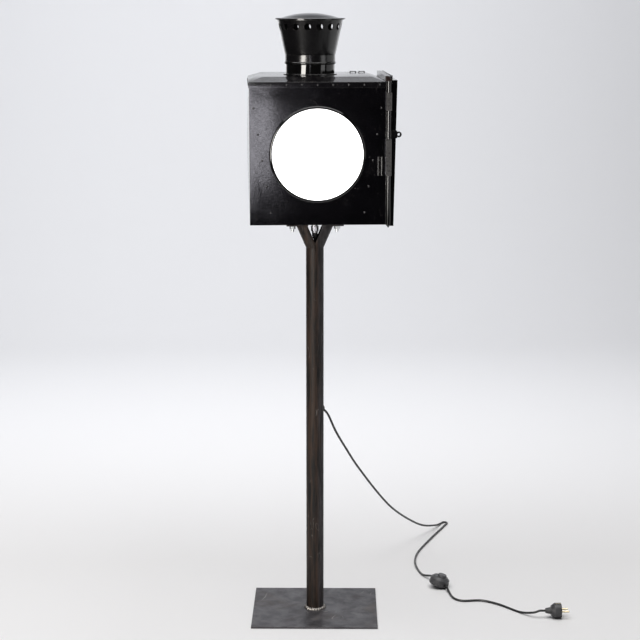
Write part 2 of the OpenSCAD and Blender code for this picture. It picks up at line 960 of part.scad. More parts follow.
// Rubber bush in the hole where the lead leaves the post
module lead_grommet() {
    neck_r = exit_hole_r - running_gap;
    color("#161616")
    rotate([0, 0, exit_turn])
    translate([0, 0, exit_z])
    rotate([0, 90, 0])
    difference() {
        union() {
            translate([0, 0, 13.5]) cylinder(r = neck_r, h = 9.5);
            translate([0, 0, post_r + running_gap]) cylinder(r = exit_hole_r + 2.5, h = 2);
            translate([0, 0, 13.5]) cylinder(r = exit_hole_r + 1.5, h = 2);
        }
        translate([0, 0, 10]) cylinder(r = lead_r + 0.4, h = 20);
    }
}

// A hole in the switch's wall for each lead
module lead_ports() {
    for (turn = [lead_in_turn, lead_out_turn])
    rotate([0, 0, turn])
    translate([switch_r / 2, 0, lead_port_h])
    rotate([0, 90, 0])
    cylinder(r = lead_r + 0.4, h = switch_r);
}

module switch_base() {
    color("#1c1c1f")
    in_switch()
    difference() {
        union() {
            cylinder(r1 = switch_r - 2, r2 = switch_r, h = 2);
            translate([0, 0, 2]) cylinder(r = switch_r, h = base_shell_h - 2);
        }
        translate([0, 0, shell_wall]) cylinder(r = switch_r - shell_wall - 1, h = base_shell_h);
        for (i = [0 : rib_count - 1])
        rotate([0, 0, (i + 0.5) * 360 / rib_count])
        translate([switch_r + 0.7, 0, 3])
        cylinder(r = 1.5, h = base_shell_h - 4);
        lead_ports();
    }
}

module switch_cover() {
    color("#242427")
    in_switch()
    translate([0, 0, base_shell_h])
    difference() {
        union() {
            cylinder(r = switch_r - 0.6, h = 6);
            translate([0, 0, 6]) cylinder(r1 = switch_r - 0.6, r2 = switch_r - 7, h = cover_h - 6);
        }
        translate([0, 0, -1]) cylinder(r = switch_r - 3.4, h = 6);
        translate([0, 0, 4.9]) cylinder(r1 = switch_r - 3.6, r2 = switch_r - 9, h = cover_h - 6.9);
        translate([button_x, 0, 0]) cylinder(r = button_r + 0.4, h = 2 * cover_h);
    }
}

module switch_button() {
    color("#2d2d31")
    in_switch()
    translate([button_x, 0, base_shell_h + 4]) {
        cylinder(r = button_r + 1.6, h = 1.5);
        cylinder(r = button_r, h = cover_h + 0.5);
        translate([0, 0, cover_h + 0.5]) cylinder(r1 = button_r, r2 = button_r - 1.5, h = 1.5);
    }
}

module switch_spring() {
    turns = 4;
    steps = 10;
    low = shell_wall + 0.8;
    high = base_shell_h + 3.2;
    coil = [for (i = [0 : turns * steps])
        [6 * cos(360 * i / steps), 6 * sin(360 * i / steps), low + (high - low) * i / (turns * steps)]];
    color("silver")
    in_switch()
    translate([button_x, 0, 0])
    cord(coil, 0.6, 6, [0, 0.2, 1]);
}

module switch_screws() {
    color("#9a9c9e")
    in_switch()
    for (turn = [30, 150, 270])
    rotate([0, 0, turn])
    translate([switch_r - 6.5, 0, shell_wall])
    cylinder(r = 2, h = 2);
}

module plug_body() {
    color("#161618")
    translate([plug_pos[0], plug_pos[1], plug_r])
    rotate([0, 90, 0])
    difference() {
        union() {
            cylinder(r1 = 6, r2 = 9, h = 14);
            translate([0, 0, 14]) cylinder(r1 = 13, r2 = plug_r, h = 8);
            translate([0, 0, 22]) cylinder(r = plug_r, h = plug_len - 22);
        }
        translate([0, 0, -1]) cylinder(r = lead_r + 0.4, h = 14);
        for (side = [-1, 1])
        translate([side * plug_r, 0, plug_len - 8])
        block([-2, -3, -6], [2, 3, 9]);
        for (side = [-1, 1])
        translate([0, side * pin_pitch / 2, plug_len - pin_root])
        cylinder(r = pin_root_r + contact_gap, h = pin_root + 1);
    }
}

module plug_pins() {
    color("#c7b27a")
    for (side = [-1, 1])
    translate([plug_pos[0] + plug_len, plug_pos[1] + side * pin_pitch / 2, plug_r])
    rotate([0, 90, 0]) {
        translate([0, 0, -pin_root]) cylinder(r = pin_root_r, h = pin_root);
        cylinder(r = pin_r, h = pin_len - 1);
        translate([0, 0, pin_len - 1]) cylinder(r1 = pin_r, r2 = pin_r - 1, h = 1);
    }
}

// Earth contacts set in the plug's sides
module plug_earth() {
    color("#c7b27a")
    translate([plug_pos[0] + plug_len - 13.8, plug_pos[1], plug_r])
    for (side = [-1, 1])
    scale([1, 1, side])
    block([0, -2.5, plug_r - 1.9], [13.6, 2.5, plug_r - 0.9]);
}

base_plate();
foot_weld();
post_tube();
fork_feet();
fork_bolts();
fork_washers();
fork_nuts();
front_panel();
left_panel();
back_panel();
right_panel();
floor_pan();
roof();
eave_band();
band_rivets();
front_rivets();
roof_lugs();
lens_bezel();
pane_seal();
opal_pane();
pane_runners();
chimney_collar();
collar_rivets();
chimney_cowl();
cowl_cap();
door_frame();
door_hood();
door_panel();
body_hinges();
door_hinges();
hinge_pins();
hinge_rivets();
strap_rivets();
hasp_eye();
locking_bar();
bar_cam();
bar_handle();
bar_guides();
guide_rivets();
holder_bracket();
bracket_screws();
lamp_holder();
bulb_cap();
bulb_glass();
gland_body();
gland_locknut();
gland_nut();
gland_boot();
lamp_lead();
lead_grommet();
plug_lead();
switch_base();
switch_cover();
switch_button();
switch_spring();
switch_screws();
plug_body();
plug_pins();
plug_earth();
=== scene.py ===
"""Looks for the railway signal lamp: studio, materials and the pieces that the CAD keeps plain."""

import json
import math

import bmesh
import bpy
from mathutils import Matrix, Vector, noise

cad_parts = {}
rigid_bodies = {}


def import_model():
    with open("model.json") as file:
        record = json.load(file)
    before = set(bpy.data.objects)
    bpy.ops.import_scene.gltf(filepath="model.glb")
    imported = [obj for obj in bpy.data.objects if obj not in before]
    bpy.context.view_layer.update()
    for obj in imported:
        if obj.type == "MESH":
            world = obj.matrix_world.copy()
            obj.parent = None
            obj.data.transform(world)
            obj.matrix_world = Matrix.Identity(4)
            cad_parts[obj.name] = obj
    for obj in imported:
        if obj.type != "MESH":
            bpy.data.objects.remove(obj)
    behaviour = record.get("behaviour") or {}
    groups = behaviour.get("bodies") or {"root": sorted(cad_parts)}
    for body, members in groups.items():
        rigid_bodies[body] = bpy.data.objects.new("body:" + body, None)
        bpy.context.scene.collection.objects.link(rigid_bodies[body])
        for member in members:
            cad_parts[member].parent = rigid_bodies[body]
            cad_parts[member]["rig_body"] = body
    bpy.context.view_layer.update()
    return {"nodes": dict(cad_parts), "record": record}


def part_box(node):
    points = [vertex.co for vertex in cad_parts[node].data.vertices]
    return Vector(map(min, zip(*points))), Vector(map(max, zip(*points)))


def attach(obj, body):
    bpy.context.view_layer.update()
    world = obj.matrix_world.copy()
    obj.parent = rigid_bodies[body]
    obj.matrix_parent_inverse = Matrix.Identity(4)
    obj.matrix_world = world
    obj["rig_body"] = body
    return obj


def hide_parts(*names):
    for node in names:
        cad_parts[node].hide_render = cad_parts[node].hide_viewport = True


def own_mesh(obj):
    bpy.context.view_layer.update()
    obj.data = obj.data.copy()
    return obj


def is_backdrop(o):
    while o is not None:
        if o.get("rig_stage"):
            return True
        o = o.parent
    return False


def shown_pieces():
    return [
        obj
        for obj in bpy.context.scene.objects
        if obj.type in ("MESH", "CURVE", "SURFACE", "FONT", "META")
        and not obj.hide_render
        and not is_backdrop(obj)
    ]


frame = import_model()

MM = 0.001
SAME_POINT = 0.005 * MM  # corners closer than this are one corner


# ---------- places, read from the frame ----------


def middle(node):
    """The centre of a CAD node's box."""
    low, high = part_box(node)
    return (low + high) / 2


post = middle("post_tube")
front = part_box("front_panel")
front_right = front[1].x
window = middle("lens_bezel")
opening_radius = 104 * MM  # of the round hole in the front sheet
ring_band = 6.5 * MM  # how wide the ring round it is


# ---------- shader building ----------


class Shader:
    """One procedural material, built node by node, in the piece's own coordinates."""

    def __init__(self, name):
        self.material = bpy.data.materials.new(name)
        self.material.use_nodes = True
        self.tree = self.material.node_tree
        self.tree.nodes.clear()
        self.surface = self.add("ShaderNodeBsdfPrincipled")
        self.output = self.add("ShaderNodeOutputMaterial")
        self.link(self.surface.outputs[0], self.output.inputs[0])
        self.place = self.add("ShaderNodeTexCoord").outputs["Object"]

    def add(self, kind):
        return self.tree.nodes.new(kind)

    def link(self, source, target):
        self.tree.links.new(source, target)

    def put(self, value, socket):
        """Links a socket, or sets a plain value or colour."""
        if isinstance(value, bpy.types.NodeSocket):
            self.link(value, socket)
        elif isinstance(value, tuple) and len(value) == 3 and socket.type == "RGBA":
            socket.default_value = (*value, 1)
        else:
            socket.default_value = value

    def stretched(self, stretch):
        mapping = self.add("ShaderNodeMapping")
        mapping.inputs["Scale"].default_value = stretch
        self.link(self.place, mapping.inputs["Vector"])
        return mapping.outputs[0]

    def cloud(self, scale, detail=4, rough=0.55, stretch=(1, 1, 1), warp=0):
        """Noise from 0 to 1; scale is in lumps per metre."""
        texture = self.add("ShaderNodeTexNoise")
        texture.inputs["Scale"].default_value = scale
        texture.inputs["Detail"].default_value = detail
        texture.inputs["Roughness"].default_value = rough
        texture.inputs["Distortion"].default_value = warp
        self.link(self.stretched(stretch), texture.inputs["Vector"])
        return texture.outputs["Fac"]

    def along(self, axis):
        """Distance along one axis, in metres."""
        parts = self.add("ShaderNodeSeparateXYZ")
        self.link(self.place, parts.inputs[0])
        return parts.outputs[axis]

    def ramp(self, value, low, high, start=0.0, end=1.0, smooth=True):
        """Maps a value from low..high to start..end."""
        node = self.add("ShaderNodeMapRange")
        node.interpolation_type = "SMOOTHSTEP" if smooth else "LINEAR"
        self.put(value, node.inputs["Value"])
        node.inputs["From Min"].default_value = low
        node.inputs["From Max"].default_value = high
        node.inputs["To Min"].default_value = start
        node.inputs["To Max"].default_value = end
        return node.outputs[0]

    def calc(self, operation, a, b):
        node = self.add("ShaderNodeMath")
        node.operation = operation
        self.put(a, node.inputs[0])
        self.put(b, node.inputs[1])
        return node.outputs[0]

    def sum(self, a, b):
        return self.calc("ADD", a, b)

    def times(self, a, b):
        return self.calc("MULTIPLY", a, b)

    def blend(self, share, a, b):
        """Mixes two colours, which have their own sockets on the mix node."""
        color_a, color_b, color_out = 6, 7, 2
        node = self.add("ShaderNodeMix")
        node.data_type = "RGBA"
        self.put(share, node.inputs["Factor"])
        self.put(a, node.inputs[color_a])
        self.put(b, node.inputs[color_b])
        return node.outputs[color_out]

    def edges(self, radius):
        """1 on sharp edges, falling to 0 within a radius of them."""
        bevel = self.add("ShaderNodeBevel")
        bevel.samples = 4
        bevel.inputs["Radius"].default_value = radius
        geometry = self.add("ShaderNodeNewGeometry")
        dot = self.add("ShaderNodeVectorMath")
        dot.operation = "DOT_PRODUCT"
        self.link(bevel.outputs[0], dot.inputs[0])
        self.link(geometry.outputs["True Normal"], dot.inputs[1])
        return self.ramp(dot.outputs["Value"], 0.995, 0.8, 0, 1, smooth=False)

    def bump(self, height, distance, strength=1.0, after=None):
        node = self.add("ShaderNodeBump")
        node.inputs["Distance"].default_value = distance
        node.inputs["Strength"].default_value = strength
        self.put(height, node.inputs["Height"])
        if after is not None:
            self.link(after, node.inputs["Normal"])
        return node.outputs[0]

    def finish(self, color, rough, metallic=0.0, normal=None, **extra):
        self.put(color, self.surface.inputs["Base Color"])
        self.put(rough, self.surface.inputs["Roughness"])
        self.put(metallic, self.surface.inputs["Metallic"])
        if normal is not None:
            self.link(normal, self.surface.inputs["Normal"])
        for name, value in extra.items():
            self.put(value, self.surface.inputs[name.replace("_", " ")])
        return self.material


def scratches(shader, scale, stretch, width=0.02):
    """Thin broken lines, 1 on a scratch."""
    lines = shader.cloud(scale, detail=1, stretch=stretch, warp=0.4)
    off_line = shader.calc("SUBTRACT", lines, 0.5)
    thin = shader.ramp(shader.times(off_line, off_line), 0, width * width, 1, 0)
    broken = shader.ramp(shader.cloud(scale * 0.4, detail=2), 0.55, 0.68)
    return shader.times(thin, broken)


def old_paint(name, color, rough, wear=0.5):
    """Aged gloss paint on sheet steel: orange peel, scuffs, small chips and rubbed edges."""
    s = Shader(name)
    blotch = s.cloud(14, detail=6, rough=0.65, warp=0.6)
    grain = s.cloud(230, detail=2, rough=0.5)
    dusty = tuple(c * 1.8 + 0.0006 for c in color)
    tone = s.blend(s.times(s.ramp(blotch, 0.4, 0.75), 0.5), color, dusty)
    scuff = scratches(s, 60, (1, 1, 0.3), 0.012)
    tone = s.blend(s.times(scuff, 0.25), tone, (0.05, 0.047, 0.047))
    chips = s.ramp(s.cloud(260, detail=3, rough=0.6), 0.69, 0.71)
    chips = s.times(chips, s.ramp(blotch, 0.42, 0.6))
    tone = s.blend(s.times(chips, 0.7), tone, (0.035, 0.026, 0.021))
    edge = s.times(s.edges(0.8 * MM), s.ramp(s.cloud(90, detail=5), 0.42, 0.62))
    tone = s.blend(s.times(edge, wear), tone, (0.16, 0.15, 0.145))
    speck = s.cloud(420, detail=3, rough=0.6)
    gloss = s.sum(s.ramp(speck, 0.45, 0.75, -0.02, 0.06), s.ramp(blotch, 0.3, 0.75, -0.01, 0.02))
    gloss = s.sum(s.sum(gloss, s.times(chips, 0.3)), rough)
    normal = s.bump(s.cloud(9, detail=1), 0.2 * MM)
    normal = s.bump(grain, 0.025 * MM, after=normal)
    normal = s.bump(chips, -0.05 * MM, 0.6, after=normal)
    dull = s.ramp(s.cloud(420, detail=5, rough=0.9, stretch=(0.3, 1, 1)), 0.3, 0.7, 0.27, 0.69)
    return s.finish(tone, gloss, s.times(edge, 0.5), normal, Specular_IOR_Level=dull)


def strap_paint(name, sheet_edge):
    """Grey rubbed iron on the straps round the bar, black paint on the plate beside them."""
    s = Shader(name)
    beside = s.ramp(s.along("X"), sheet_edge - 0.5 * MM, sheet_edge + 0.5 * MM)
    grime = s.cloud(260, detail=4, rough=0.7)
    iron = s.blend(s.ramp(grime, 0.35, 0.65), (0.014, 0.0135, 0.0135), (0.05, 0.048, 0.047))
    tone = s.blend(beside, (0.0012, 0.0011, 0.0013), iron)
    edge = s.times(s.edges(0.8 * MM), s.ramp(s.cloud(90, detail=5), 0.38, 0.6))
    tone = s.blend(s.times(edge, 0.9), tone, (0.2, 0.19, 0.18))
    gloss = s.sum(s.ramp(grime, 0.3, 0.7, -0.03, 0.05), s.ramp(beside, 0, 1, 0.12, 0.3))
    normal = s.bump(grime, 0.05 * MM, 0.8)
    return s.finish(tone, gloss, s.times(edge, 0.5), normal)


def gloss_paint(name, color, rough, wear=0.35):
    """Newer, shinier paint with brush marks and dust."""
    s = Shader(name)
    dust = s.cloud(40, detail=6, rough=0.7)
    tone = s.blend(s.ramp(dust, 0.5, 0.8, 0, 0.2), color, (0.01, 0.01, 0.01))
    edge = s.times(s.edges(0.6 * MM), s.ramp(s.cloud(120, detail=4), 0.45, 0.6))
    tone = s.blend(s.times(edge, wear), tone, (0.3, 0.29, 0.28))
    gloss = s.sum(s.ramp(dust, 0.5, 0.8, 0, 0.08), rough)
    normal = s.bump(s.cloud(30, detail=1), 0.1 * MM)
    normal = s.bump(s.cloud(260, detail=1), 0.008 * MM, after=normal)
    return s.finish(tone, gloss, 0.0, normal)


def raw_steel(name, dark, light, rust, rough):
    """Bare dark steel with rust patches, pits, scuffs and rubbed edges."""
    s = Shader(name)
    shade = s.cloud(26, detail=5, rough=0.6)
    patch = s.cloud(11, detail=6, rough=0.7, warp=0.8)
    tone = s.blend(s.ramp(shade, 0.3, 0.7), dark, light)
    tone = s.blend(s.ramp(patch, 0.5, 0.72, 0, 0.75), tone, rust)
    spots = s.ramp(s.cloud(230, detail=4), 0.64, 0.72, 0, 0.6)
    tone = s.blend(spots, tone, tuple(c * 0.35 for c in dark))
    scuff = scratches(s, 20, (1, 0.5, 1))
    tone = s.blend(s.times(scuff, 0.6), tone, (0.3, 0.29, 0.28))
    edge = s.times(s.edges(0.8 * MM), s.ramp(s.cloud(70, detail=4), 0.35, 0.6))
    tone = s.blend(s.times(edge, 0.6), tone, (0.33, 0.31, 0.29))
    gloss = s.sum(s.ramp(patch, 0.4, 0.7, -0.05, 0.2), s.ramp(shade, 0.3, 0.7, 0.06, -0.06))
    gloss = s.sum(gloss, rough)
    normal = s.bump(shade, 0.15 * MM, 0.5)
    normal = s.bump(s.cloud(350, detail=3), 0.1 * MM, 0.5, after=normal)
    return s.finish(tone, gloss, s.ramp(patch, 0.45, 0.7, 0.75, 0.25), normal)


def post_patina_and_sheen(name):
    """Raw tube with streaks along it: brown rust on its left, and a painted lighter grey sheen on its
    right that stands for the reflection of the soft light on that side.
    """
    s = Shader(name)
    # painted sheen: how far across the tube the right side is coloured lighter grey, standing for the
    # reflection of the light on the right
    across = s.ramp(s.along("X"), 2 * MM, 12 * MM)
    streak = s.cloud(130, detail=6, stretch=(1, 1, 0.06), rough=0.75)
    patch = s.cloud(13, detail=6, rough=0.7, warp=0.8, stretch=(1, 1, 0.4))
    brown = s.blend(s.ramp(streak, 0.38, 0.64), (0.001, 0.0006, 0.0005), (0.026, 0.0145, 0.009))
    # painted reflection: this lighter grey is the sheen of the light on the right, coloured into the
    # steel
    painted_right_sheen = s.blend(s.ramp(streak, 0.38, 0.64), (0.003, 0.0026, 0.0028), (0.036, 0.032, 0.034))
    tone = s.blend(across, brown, painted_right_sheen)
    tone = s.blend(s.ramp(patch, 0.5, 0.68, 0, 0.7), tone, (0.032, 0.017, 0.011))
    scuff = scratches(s, 60, (1, 1, 0.3), 0.014)
    tone = s.blend(s.times(scuff, 0.4), tone, (0.15, 0.14, 0.135))
    gloss = s.sum(s.ramp(patch, 0.4, 0.7, -0.04, 0.12), s.ramp(streak, 0.3, 0.7, 0.55, 0.45))
    normal = s.bump(streak, 0.12 * MM, 0.5)
    normal = s.bump(s.cloud(350, detail=3), 0.08 * MM, 0.5, after=normal)
    return s.finish(tone, gloss, 0.0, normal, Specular_IOR_Level=0.25)


def plated(name, color, rough):
    """Zinc or nickel plate: bright, with faint clouding and tool marks."""
    s = Shader(name)
    cloud = s.cloud(120, detail=4)
    tone = s.blend(s.ramp(cloud, 0.4, 0.75), color, tuple(c * 0.72 for c in color))
    gloss = s.ramp(cloud, 0.3, 0.7, rough - 0.06, rough + 0.1)
    normal = s.bump(s.cloud(900, detail=2), 0.03 * MM, 0.4)
    return s.finish(tone, gloss, 1.0, normal)


def moulded(name, color, rough, grain=0.3):
    """Moulded plastic or rubber: fine grain, faint scuffs and dust."""
    s = Shader(name)
    cloud = s.cloud(70, detail=5)
    tone = s.blend(s.ramp(cloud, 0.5, 0.8, 0, 0.5), color, tuple(c * 1.8 + 0.01 for c in color))
    edge = s.times(s.edges(0.5 * MM), 0.3)
    tone = s.blend(edge, tone, tuple(c * 3 + 0.02 for c in color))
    gloss = s.ramp(cloud, 0.35, 0.7, rough - 0.05, rough + 0.1)
    normal = s.bump(s.cloud(1800, detail=2), 0.05 * MM, grain)
    return s.finish(tone, gloss, 0.0, normal)


def opal(name, glow):
    """White opal glass, lit from behind, faintly clouded."""
    s = Shader(name)
    cloud = s.cloud(12, detail=2)
    tone = s.blend(cloud, (0.93, 0.93, 0.92), (0.97, 0.97, 0.97))
    normal = s.bump(s.cloud(25, detail=2), 0.2 * MM, 0.3)
    gloss = s.ramp(cloud, 0.3, 0.7, 0.1, 0.2)
    return s.finish(tone, gloss, 0.0, normal, Emission_Color=tone, Emission_Strength=glow)


RECIPES = [
    (raw_steel, "plate_steel", (0.045, 0.043, 0.048), (0.085, 0.082, 0.088), (0.065, 0.055, 0.052), 0.42),
    (raw_steel, "rusty_iron", (0.008, 0.004, 0.0035), (0.018, 0.009, 0.007), (0.028, 0.012, 0.008), 0.5),
    (post_patina_and_sheen, "post_steel"),
    (plated, "weld_metal", (0.26, 0.245, 0.23), 0.4),
    (plated, "zinc", (0.82, 0.85, 0.86), 0.42),
    (plated, "nickel", (0.92, 0.92, 0.96), 0.34),
    (plated, "cap_metal", (0.78, 0.76, 0.7), 0.3),
    (plated, "spring_steel", (0.7, 0.7, 0.7), 0.22),
    (plated, "pin_metal", (0.82, 0.72, 0.5), 0.18),
    (old_paint, "black_sheet", (0.0008, 0.0007, 0.0011), 0.095),
    (old_paint, "roof_sheet", (0.0022, 0.002, 0.0025), 0.1),
    (old_paint, "rivet_black", (0.004, 0.0038, 0.0044), 0.2, 0.8),
    (old_paint, "door_sheet", (0.0006, 0.0006, 0.0007), 0.09),
    (old_paint, "frame_sheet", (0.0025, 0.0023, 0.0026), 0.18, 0.8),
    (old_paint, "hinge_iron", (0.0015, 0.0014, 0.0015), 0.12, 0.9),
    (strap_paint, "guide_iron", front_right),
    (gloss_paint, "black_gloss", (0.0018, 0.0017, 0.0018), 0.06),
    (gloss_paint, "cowl_paint", (0.003, 0.0028, 0.0032), 0.2),
    (gloss_paint, "bar_steel", (0.0015, 0.0014, 0.0014), 0.1, 0.5),
    (moulded, "felt", (0.04, 0.04, 0.041), 0.9, 1.0),
    (moulded, "bakelite", (0.012, 0.011, 0.01), 0.25),
    (moulded, "black_rubber", (0.012, 0.012, 0.013), 0.6),
    (moulded, "black_pvc", (0.006, 0.006, 0.0068), 0.36, 0.15),
    (moulded, "switch_plastic", (0.026, 0.026, 0.029), 0.42),
    (moulded, "button_plastic", (0.045, 0.045, 0.05), 0.45),
    (moulded, "plug_plastic", (0.018, 0.018, 0.02), 0.45),
    (opal, "opal_glass", 3.0),
    (opal, "bulb_opal", 2.0),
]
MATERIALS = {name: maker(name, *values) for maker, name, *values in RECIPES}


def dress(piece, slot):
    piece.data.materials.clear()
    piece.data.materials.append(MATERIALS[slot])


SLOTS = {row["node"]: row["material_slot"] for row in frame["record"]["subparts"]}


# ---------- pieces that stand for plainer CAD nodes ----------


def add_piece(name, bm, node, smooth_angle=35):
    """Makes a mesh into a shown piece that replaces a CAD node and rides on its body."""
    bmesh.ops.recalc_face_normals(bm, faces=bm.faces)
    mesh = bpy.data.meshes.new(name)
    bm.to_mesh(mesh)
    bm.free()
    piece = bpy.data.objects.new(name, mesh)
    bpy.context.scene.collection.objects.link(piece)
    mesh.shade_smooth()
    mesh.set_sharp_from_angle(angle=math.radians(smooth_angle))
    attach(piece, frame["nodes"][node]["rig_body"])
    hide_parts(node)
    dress(piece, SLOTS[node])
    return piece


def bevel(piece, width):
    """Rounds the sharp edges of a piece, and keeps its flat faces flat in the light."""
    mod = piece.modifiers.new("bevel", "BEVEL")
    mod.width = width
    mod.segments = 2
    mod.limit_method = "ANGLE"
    mod.angle_limit = math.radians(35)
    mod.use_clamp_overlap = True
    even = piece.modifiers.new("even", "WEIGHTED_NORMAL")
    even.weight = 60


def smooth_cord(piece):
    """Rounds a wire or a lead."""
    mod = piece.modifiers.new("round", "SUBSURF")
    mod.levels = 2
    mod.render_levels = 2


def from_cad(node, longest):
    """A welded copy of a CAD node's mesh, cut so that no edge is over a length."""
    bm = bmesh.new()
    bm.from_mesh(frame["nodes"][node].data)
    bmesh.ops.remove_doubles(bm, verts=bm.verts, dist=SAME_POINT)
    while True:
        long_edges = [e for e in bm.edges if e.calc_length() > longest]
        if not long_edges:
            return bm
        bmesh.ops.subdivide_edges(bm, edges=long_edges, cuts=1)
        bmesh.ops.triangulate(bm, faces=[f for f in bm.faces if len(f.verts) > 3])


def dent(point, depth, seed):
    """A smooth random height, for sheet that is no longer flat."""
    lumps_per_metre = 11
    place = Vector(point) * lumps_per_metre + Vector((seed, 2 * seed, 3 * seed))
    return depth * noise.noise(place)


def bowed_left_side():
    """The left sheet, bowed outward between its corners."""
    bow, dents = 4.2 * MM, 0.8 * MM
    low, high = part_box("left_panel")
    bm = from_cad("left_panel", 14 * MM)
    for v in bm.verts:
        across = (v.co.y - low.y) / (high.y - low.y)
        up = (v.co.z - low.z) / (high.z - low.z)
        bulge = 4 * across * (1 - across) * math.sin(math.pi * up ** 1.15) ** 0.8
        v.co.x -= bow * bulge + dent(v.co, dents, 3) * bulge
    bevel(add_piece("side_sheet", bm, "left_panel"), 0.5 * MM)


def sheared(v, low, high, amount):
    """Moves a point of the door side inward, most at the lower front corner."""
    forward = ((high.y - v.co.y) / (high.y - low.y)) ** 2
    down = (high.z - v.co.z) / (high.z - low.z)
    outward = max(0, (v.co.x - front_right) / (high.x - front_right))
    v.co.x -= amount * forward * down * outward


def bent_door():
    """The door tray and its frame, sprung inward at the lower front corner."""
    bend = 7 * MM
    low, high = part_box("door_panel")
    for node, name in (("door_panel", "door_tray"), ("door_frame", "door_channel")):
        bm = from_cad(node, 25 * MM)
        for v in bm.verts:
            sheared(v, low, high, bend)
        bevel(add_piece(name, bm, node), 0.8 * MM)


def skin(bm, loops, closed):
    """Joins rows of corners with faces: each row is a closed loop, or the rows go round."""
    following = loops[1:] + loops[:1] if closed else loops[1:]
    for a, b in zip(loops, following):
        for i in range(len(a)):
            j = (i + 1) % len(a)
            bm.faces.new((a[i], b[i], b[j], a[j]))


def front_sheet():
    """The front panel: a sheet with a round opening, faintly dented."""
    depth, calm_edge = 0.6 * MM, 60 * MM
    low, high = front
    per_side, rings = 40, 22
    corners = [(low.x, low.z), (high.x, low.z), (high.x, high.z), (low.x, high.z)]
    rim = []
    for a, b in zip(corners, corners[1:] + corners[:1]):
        rim += [Vector(a).lerp(Vector(b), i / per_side) for i in range(per_side)]
    centre = Vector((window.x, window.z))
    bm = bmesh.new()
    loops = []
    for ring in range(rings + 1):
        share = (ring / rings) ** 1.2
        loop = []
        for edge in rim:
            way = (edge - centre).normalized()
            spot = (centre + way * opening_radius).lerp(edge, share)
            inset = min(spot.x - low.x, high.x - spot.x, spot.y - low.z, high.z - spot.y)
            share_dented = min(1, (spot - centre).length / opening_radius - 1, inset / calm_edge)
            y = low.y + dent((spot.x, 0, spot.y), depth, 1) * max(0, share_dented)
            loop.append(bm.verts.new((spot.x, y, spot.y)))
        loops.append(loop)
    skin(bm, loops, closed=False)
    piece = add_piece("front_sheet", bm, "front_panel")
    solid = piece.modifiers.new("sheet", "SOLIDIFY")
    solid.thickness = high.y - low.y
    solid.offset = -1 if piece.data.polygons[0].normal.y < 0 else 1
    bevel(piece, 0.4 * MM)


def window_ring():
    """The ring round the window: steep inside, falling away in a round slope outside."""
    low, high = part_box("lens_bezel")
    sheet_y = front[0].y
    inner_radius = (high.x - low.x) / 2 - ring_band
    tall = sheet_y - low.y
    profile = [(0, 0), (0, 0.7), (0.06, 0.9), (0.18, 0.98), (0.3, 1.0), (0.45, 0.96), (0.6, 0.86)]
    profile += [(0.75, 0.69), (0.87, 0.47), (0.95, 0.24), (1.0, 0)]
    around = 160
    bm = bmesh.new()
    loops = []
    for i in range(around):
        turn = 2 * math.pi * i / around
        way = Vector((math.cos(turn), 0, math.sin(turn)))
        loop = []
        for out, up in profile:
            spot = Vector((window.x, sheet_y, window.z)) + way * (inner_radius + out * ring_band)
            spot.y -= up * tall
            loop.append(bm.verts.new(spot))
        loops.append(loop)
    skin(bm, loops, closed=True)
    add_piece("window_ring", bm, "lens_bezel", 50)


def weld_bead():
    """The fillet weld round the post's foot, with its ripples."""
    low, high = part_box("foot_weld")
    ripples, ripple, wander = 26, 0.1, 0.25
    tube = (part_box("post_tube")[1].y - post.y) + 0.02 * MM
    leg = (high.x - low.x) / 2 - tube
    around, arc = 180, 6
    bm = bmesh.new()
    loops = []
    for i in range(around):
        turn = 2 * math.pi * i / around
        drift = noise.noise((3 * math.cos(turn), 3 * math.sin(turn), 5))
        grow = 1 + ripple * math.cos(ripples * turn) + wander * drift
        loop = [(tube, low.z)]
        for k in range(arc + 1):
            lean = math.pi / 2 * k / arc
            loop.append((tube + leg * grow * math.cos(lean), low.z + leg * grow * math.sin(lean)))
        spots = [(r * math.cos(turn), r * math.sin(turn), z) for r, z in loop]
        loops.append([bm.verts.new(spot) for spot in spots])
    skin(bm, loops, closed=True)
    add_piece("foot_bead", bm, "foot_weld", 70)


def switch_coil():
    """The foot switch's spring, which shortens as the button goes in."""
    bm = from_cad("switch_spring", 50 * MM)
    piece = add_piece("switch_coil", bm, "switch_spring", 60)
    smooth_cord(piece)
    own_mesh(piece)


front_sheet()
window_ring()
bowed_left_side()
bent_door()
weld_bead()
switch_coil()


# ---------- materials and softened edges on the CAD nodes ----------


EDGE_MM = {
    "base_plate": 0.8, "roof": 1.0, "eave_band": 0.4, "back_panel": 0.5, "right_panel": 0.4,
    "floor_pan": 0.4, "post_tube": 0.4, "fork_feet": 1.0, "fork_bolts": 0.5, "fork_nuts": 0.6,
    "fork_washers": 0.25, "roof_lugs": 0.5, "pane_runners": 0.4,
    "chimney_collar": 0.4, "chimney_cowl": 0.3, "cowl_cap": 0.8, "body_hinges": 0.5,
    "door_hinges": 0.5, "hinge_pins": 0.4, "hasp_eye": 0.6, "bar_cam": 1.2, "bar_handle": 0.8,
    "bar_guides": 0.5, "holder_bracket": 0.5, "bracket_screws": 0.2, "lamp_holder": 1.0,
    "bulb_cap": 0.5, "gland_body": 0.6, "gland_locknut": 0.4, "gland_nut": 0.8, "gland_boot": 0.5,
    "lead_grommet": 0.6, "switch_base": 0.5, "switch_cover": 1.2, "switch_button": 0.6,
    "switch_screws": 0.3, "plug_body": 1.2, "plug_pins": 0.3, "plug_earth": 0.2, "opal_pane": 0.4,
    "locking_bar": 0.3, "pane_seal": 0.3, "door_hood": 0.6,
}
CORDS = ("lamp_lead", "plug_lead")


def weld(piece):
    """Joins faces that share corners, so that edges can be rounded."""
    mod = piece.modifiers.new("weld", "WELD")
    mod.merge_threshold = SAME_POINT


for node, slot_name in SLOTS.items():
    piece = frame["nodes"][node]
    dress(piece, slot_name)
    if piece.hide_render:
        continue
    weld(piece)
    if node in CORDS:
        smooth_cord(piece)
    elif node in EDGE_MM:
        bevel(piece, EDGE_MM[node] * MM)


# ---------- studio ----------


